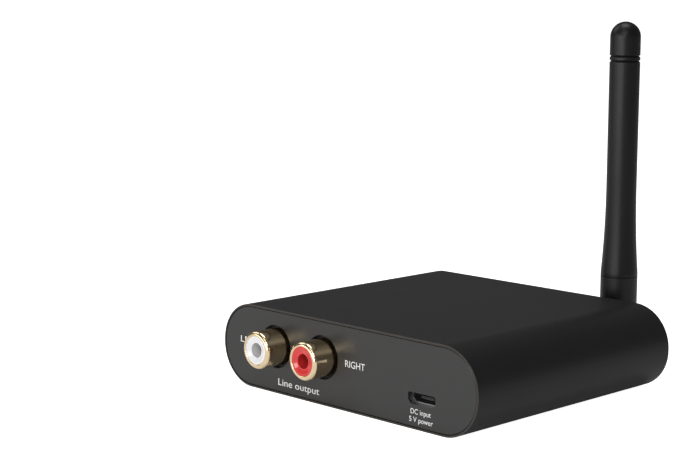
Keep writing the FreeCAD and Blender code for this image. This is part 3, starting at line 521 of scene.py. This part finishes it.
button_plastic = grained_material(
    "button_plastic",
    dark=(0.012, 0.012, 0.012), light=(0.020, 0.020, 0.020),
    roughness=0.4, spread=0.1, grain=6000, cloud=200, bump=0.000004,
)
finish(button_plastic, "button_cap", "switch_plunger")
lens_plastic = grained_material(
    "lens_plastic",
    dark=(0.55, 0.60, 0.66), light=(0.68, 0.73, 0.78),
    roughness=0.12, spread=0.05, grain=1500, cloud=200, bump=0.000001,
    shader={"Coat Weight": 0.5},
)
finish(lens_plastic, "status_light")

# ---------------------------------------------------------------- antenna
# A bulkhead jack comes through the antenna panel. The antenna screws on to it with a knurled nut, turns
# on its spigot and tilts on a moulded fork. The mast is a soft black sleeve over a brass radiator.

fluoropolymer = grained_material(
    "fluoropolymer",
    dark=(0.72, 0.72, 0.70), light=(0.80, 0.80, 0.78),
    roughness=0.4, spread=0.1, grain=3000, cloud=200, bump=0.000004,
)
finish(fluoropolymer, "bulkhead_insulator", "antenna_plug_insulator")
lead_jacket = grained_material(
    "lead_jacket",
    dark=(0.012, 0.012, 0.012), light=(0.022, 0.022, 0.022),
    roughness=0.35, spread=0.1, grain=3000, cloud=300, bump=0.000004,
)
finish(lead_jacket, "antenna_lead", "mast_coax")
bare_copper = grained_material(
    "bare_copper",
    dark=(0.62, 0.30, 0.15), light=(0.72, 0.38, 0.20),
    roughness=0.3, spread=0.15, grain=2500, cloud=300, bump=0.000002,
    shader={"Metallic": 1.0},
)
finish(bare_copper, "radiator_whip")
antenna_plastic = grained_material(
    "antenna_plastic",
    dark=(0.0065, 0.0063, 0.0062), light=(0.0095, 0.0092, 0.009),
    roughness=0.42, spread=0.1, grain=6000, cloud=60, bump=0.000005,
    shader={"Specular IOR Level": 0.35},
)
finish(antenna_plastic, "knuckle", "fork_collar")
mast_rubber = grained_material(
    "mast_rubber",
    dark=(0.006, 0.0058, 0.0056), light=(0.0085, 0.0082, 0.008),
    roughness=0.37, spread=0.08, grain=7000, cloud=60, bump=0.000005,
    shader={"Specular IOR Level": 0.28},
)
finish(mast_rubber, "mast_sleeve")

# ---------------------------------------------------------------- coupling nut
# The nut that screws the antenna to its jack. It is turned from black acetal: a plain band at each end,
# and between them a straight knurl of fine ridges, rolled in by a wheel, for the fingers.


def joined_mesh(name, build):
    """A mesh filled by a bmesh function, with its doubles merged and its faces pointing outwards."""
    work = bmesh.new()
    build(work)
    merge_distance = 0.0005 * mm
    bmesh.ops.remove_doubles(work, verts=work.verts, dist=merge_distance)
    bmesh.ops.recalc_face_normals(work, faces=work.faces)
    mesh = bpy.data.meshes.new(name)
    work.to_mesh(mesh)
    work.free()
    return mesh


def turned_ring(name, profile, segments):
    """A closed profile of (distance along, radius) pairs, turned about the Y axis; in millimetres."""

    def build(work):
        rings = []
        for step in range(segments):
            angle = 2 * math.pi * step / segments
            turn = Vector((math.cos(angle), 0, math.sin(angle)))
            ring = []
            for along, radius in profile:
                ring.append(work.verts.new((turn * radius + Vector((0, along, 0))) * mm))
            rings.append(ring)
        for step in range(segments):
            here, there = rings[step], rings[(step + 1) % segments]
            for corner in range(len(profile)):
                after = (corner + 1) % len(profile)
                work.faces.new((here[corner], here[after], there[after], there[corner]))

    return joined_mesh(name, build)


def knurl_tree():
    """Ridges of three-cornered section, set evenly about the Y axis with one corner outwards."""
    tree, given, result = new_tree(
        "knurl",
        [
            ("Ridges", "Int"),
            ("Radius", "Float"),
            ("Ridge Size", "Float"),
            ("Ridge Length", "Float"),
            ("Middle", "Vector"),
            ("Material", "Material"),
        ],
    )
    links = tree.links
    circle = tree.nodes.new("GeometryNodeMeshCircle")
    links.new(given.outputs["Ridges"], circle.inputs["Vertices"])
    links.new(given.outputs["Radius"], circle.inputs["Radius"])
    ridge_corners = 3
    ridge = tree.nodes.new("GeometryNodeMeshCylinder")
    ridge.inputs["Vertices"].default_value = ridge_corners
    links.new(given.outputs["Ridge Size"], ridge.inputs["Radius"])
    links.new(given.outputs["Ridge Length"], ridge.inputs["Depth"])
    pitch = math_node(tree, "DIVIDE", 2 * math.pi, given.outputs["Ridges"])
    turn = math_node(tree, "MULTIPLY", tree.nodes.new("GeometryNodeInputIndex").outputs[0], pitch)
    rotation = tree.nodes.new("ShaderNodeCombineXYZ")
    links.new(turn, rotation.inputs["Z"])
    placed = tree.nodes.new("GeometryNodeInstanceOnPoints")
    links.new(circle.outputs["Mesh"], placed.inputs["Points"])
    links.new(ridge.outputs["Mesh"], placed.inputs["Instance"])
    links.new(rotation.outputs["Vector"], placed.inputs["Rotation"])
    laid = tree.nodes.new("GeometryNodeTransform")
    laid.inputs["Rotation"].default_value = (math.pi / 2, 0, 0)
    links.new(placed.outputs["Instances"], laid.inputs["Geometry"])
    links.new(given.outputs["Middle"], laid.inputs["Translation"])
    finish_tree(
        tree, result, laid.outputs["Geometry"], given.outputs["Material"], given.outputs["Geometry"]
    )
    return tree


nut_low, nut_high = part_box("coupling_nut")
nut_radius = (nut_high.x - nut_low.x) / 2 / mm
nut_length = (nut_high.y - nut_low.y) / mm
nut_chamfer = 0.3
nut_thread = 3.25
nut_neck = 2.55
nut_back_wall = 1.05
band_front = 0.9
band_back = 1.45
band_depth = 0.28
band_slope = 0.1
nut_facets = 96
ridge_count = 60
ridge_size = 0.32
ridge_sink = 0.02
ridge_end_gap = 0.05
nut_profile = [
    (0, nut_thread),
    (0, nut_radius - nut_chamfer),
    (nut_chamfer, nut_radius),
    (band_front - band_slope, nut_radius),
    (band_front, nut_radius - band_depth),
    (nut_length - band_back, nut_radius - band_depth),
    (nut_length - band_back + band_slope, nut_radius),
    (nut_length - nut_chamfer, nut_radius),
    (nut_length, nut_radius - nut_chamfer),
    (nut_length, nut_neck),
    (nut_length - nut_back_wall, nut_neck),
    (nut_length - nut_back_wall, nut_thread),
]
knurled_nut = made_by_nodes(
    "knurled_nut",
    turned_ring("nut_body", nut_profile, nut_facets),
    knurl_tree(),
    {
        "Ridges": ridge_count,
        "Radius": (nut_radius - ridge_size - ridge_sink) * mm,
        "Ridge Size": ridge_size * mm,
        "Ridge Length": (nut_length - band_front - band_back - 2 * ridge_end_gap) * mm,
        "Middle": (0, (band_front + nut_length - band_back) / 2 * mm, 0),
        "Material": antenna_plastic,
    },
    Vector(((nut_low.x + nut_high.x) / 2, nut_low.y, (nut_low.z + nut_high.z) / 2)),
    "antenna_nut",
)
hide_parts("coupling_nut")

# ---------------------------------------------------------------- printed legends
# White screen-printed words beside the jacks and the port, a few hundredths of a millimetre thick. The
# wording is generic.

ink = grained_material(
    "white_ink",
    dark=(0.78, 0.78, 0.78), light=(0.90, 0.90, 0.90),
    roughness=0.6, spread=0.1, grain=6000, cloud=400, bump=0.000002,
)


def legend(name, words, left, baseline, cap_height, width, panel="jack_panel"):
    """Words printed on an end panel and read from outside, in millimetres; left is their left end.

    The font's curve is extruded so that it has a front and a back, which then become the ink's film.
    """
    capital_height = 0.70
    film = 0.03 * mm
    curve = bpy.data.curves.new(name, "FONT")
    curve.body = words
    curve.extrude = 0.5
    maker = bpy.data.objects.new(name, curve)
    bpy.context.scene.collection.objects.link(maker)
    bpy.context.view_layer.update()
    mesh = bpy.data.meshes.new_from_object(maker.evaluated_get(bpy.context.evaluated_depsgraph_get()))
    bpy.data.objects.remove(maker)
    points = [vertex.co for vertex in mesh.vertices]
    low_x = min(p.x for p in points)
    high_x = max(p.x for p in points)
    outward = -1 if panel == "jack_panel" else 1
    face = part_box(panel)[0 if outward < 0 else 1].y
    for vertex in mesh.vertices:
        across = (vertex.co.x - low_x) / (high_x - low_x) * width
        up = vertex.co.y / capital_height * cap_height
        depth = film if vertex.co.z > 0 else 0.0
        vertex.co = Vector(((left - outward * across) * mm, face + outward * depth, (baseline + up) * mm))
    mesh.name = name
    printed = bpy.data.objects.new(name, mesh)
    bpy.context.scene.collection.objects.link(printed)
    printed.data.materials.append(ink)
    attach(printed, "case")


legend("legend_left", "LEFT", left=-32.85, baseline=9.95, cap_height=1.45, width=5.9)
legend("legend_right", "RIGHT", left=1.05, baseline=9.75, cap_height=1.5, width=5.9)
legend("legend_output", "Line output", left=-20.2, baseline=2.05, cap_height=1.55, width=13.2)
legend("legend_supply", "DC input", left=20.3, baseline=3.3, cap_height=1.1, width=5.6)
legend("legend_volts", "5 V power", left=19.9, baseline=1.6, cap_height=1.1, width=6.6)
legend("legend_pair", "PAIR", left=-10.1, baseline=4.5, cap_height=1.3, width=3.8, panel="antenna_panel")
legend("legend_link", "LINK", left=-1.1, baseline=4.5, cap_height=1.3, width=3.8, panel="antenna_panel")

# ---------------------------------------------------------------- studio
# A pale seamless floor under an even white surround, both brighter to the camera than in the light they
# give, and seven soft rectangular lights. None of it is part of the object.

floor_reach = 6.0
floor_gap = 0.05 * mm
floor_glow_seen = 0.95
floor_glow_given = 0.05
surround_seen = 0.88
surround_given = 0.12

floor_mesh = bpy.data.meshes.new("floor")
floor_corners = [(x * floor_reach, y * floor_reach, 0) for x, y in ((-1, -1), (1, -1), (1, 1), (-1, 1))]
floor_mesh.from_pydata(floor_corners, [], [(0, 1, 2, 3)])
floor = bpy.data.objects.new("floor", floor_mesh)
floor.location.z = cad_box[0][2] - floor_gap
bpy.context.scene.collection.objects.link(floor)
floor_paint = bpy.data.materials.new("floor_paint")
floor_paint.use_nodes = True
floor_shader = floor_paint.node_tree.nodes["Principled BSDF"]
floor_shader.inputs["Base Color"].default_value = (0.93, 0.93, 0.93, 1)
floor_shader.inputs["Roughness"].default_value = 0.9
floor_shader.inputs["Specular IOR Level"].default_value = 0.0
floor_shader.inputs["Emission Color"].default_value = (1, 1, 1, 1)
floor_seen = floor_paint.node_tree.nodes.new("ShaderNodeLightPath").outputs["Is Camera Ray"]
floor_glow = math_node(floor_paint.node_tree, "MULTIPLY", floor_seen, floor_glow_seen)
floor_glow = math_node(floor_paint.node_tree, "ADD", floor_glow, floor_glow_given)
floor_paint.node_tree.links.new(floor_glow, floor_shader.inputs["Emission Strength"])
floor_mesh.materials.append(floor_paint)

world = bpy.data.worlds.new("surround")
world.use_nodes = True
world.node_tree.nodes["Background"].inputs["Color"].default_value = (1, 1, 1, 1)
world_seen = world.node_tree.nodes.new("ShaderNodeLightPath").outputs["Is Camera Ray"]
world_light = math_node(world.node_tree, "MULTIPLY", world_seen, surround_seen)
world_light = math_node(world.node_tree, "ADD", world_light, surround_given)
world.node_tree.links.new(world_light, world.node_tree.nodes["Background"].inputs["Strength"])
bpy.context.scene.world = world


def softbox(name, place, aim, size, power):
    """A rectangular soft light turned to an aim; places and sizes in metres, power in watts."""
    light = bpy.data.lights.new(name, "AREA")
    light.shape = "RECTANGLE"
    light.size, light.size_y = size
    light.energy = power
    lamp = bpy.data.objects.new(name, light)
    lamp.location = place
    lamp.rotation_euler = (Vector(aim) - Vector(place)).to_track_quat("-Z", "Y").to_euler()
    bpy.context.scene.collection.objects.link(lamp)


softbox("front_light", place=(0.11, -0.95, 0.11), aim=(0, 0, 0.04), size=(0.75, 0.2), power=3.2)
softbox("corner_light", place=(0.24, -0.32, 0.26), aim=(0.03, -0.03, 0.01), size=(0.14, 0.14), power=0.35)
softbox("low_light", place=(-0.6, -1.0, 0.14), aim=(0, 0, 0.02), size=(0.7, 0.3), power=1.6)
softbox("top_light", place=(-0.1, 0.1, 1.1), aim=(0, 0, 0.02), size=(0.6, 0.6), power=4.5)
softbox("back_light", place=(-0.95, 0.6, 0.12), aim=(0, 0, 0.02), size=(0.9, 0.3), power=0.09)
softbox("high_light", place=(0.25, -0.65, 0.8), aim=(0, 0, 0.02), size=(0.5, 0.4), power=1.0)
softbox("left_light", place=(-0.8, -0.2, 0.75), aim=(0, 0, 0.02), size=(0.6, 0.6), power=1.7)

# The camera stands low, off the corner between the jack panel and the right side.
camera_place = (0.24526, -0.27231, 0.08974)
camera_lens = 86.95
yaw = math.radians(45.717)
pitch = math.radians(8.205)
roll = math.radians(0.179)
view = Vector((-math.sin(yaw) * math.cos(pitch), math.cos(yaw) * math.cos(pitch), -math.sin(pitch)))
level = Vector((math.cos(yaw), math.sin(yaw), 0))
upward = level.cross(view)
right = level * math.cos(roll) + upward * math.sin(roll)
up = upward * math.cos(roll) - level * math.sin(roll)
camera_data = bpy.data.cameras.new("camera")
camera_data.lens = camera_lens
camera_data.sensor_width = 36
camera_data.clip_start = 0.01
camera = bpy.data.objects.new("camera", camera_data)
turn = Matrix((right, up, -view)).transposed()
camera.matrix_world = Matrix.Translation(camera_place) @ turn.to_4x4()
bpy.context.scene.collection.objects.link(camera)
bpy.context.scene.camera = camera
bpy.context.scene.view_settings.view_transform = "Standard"
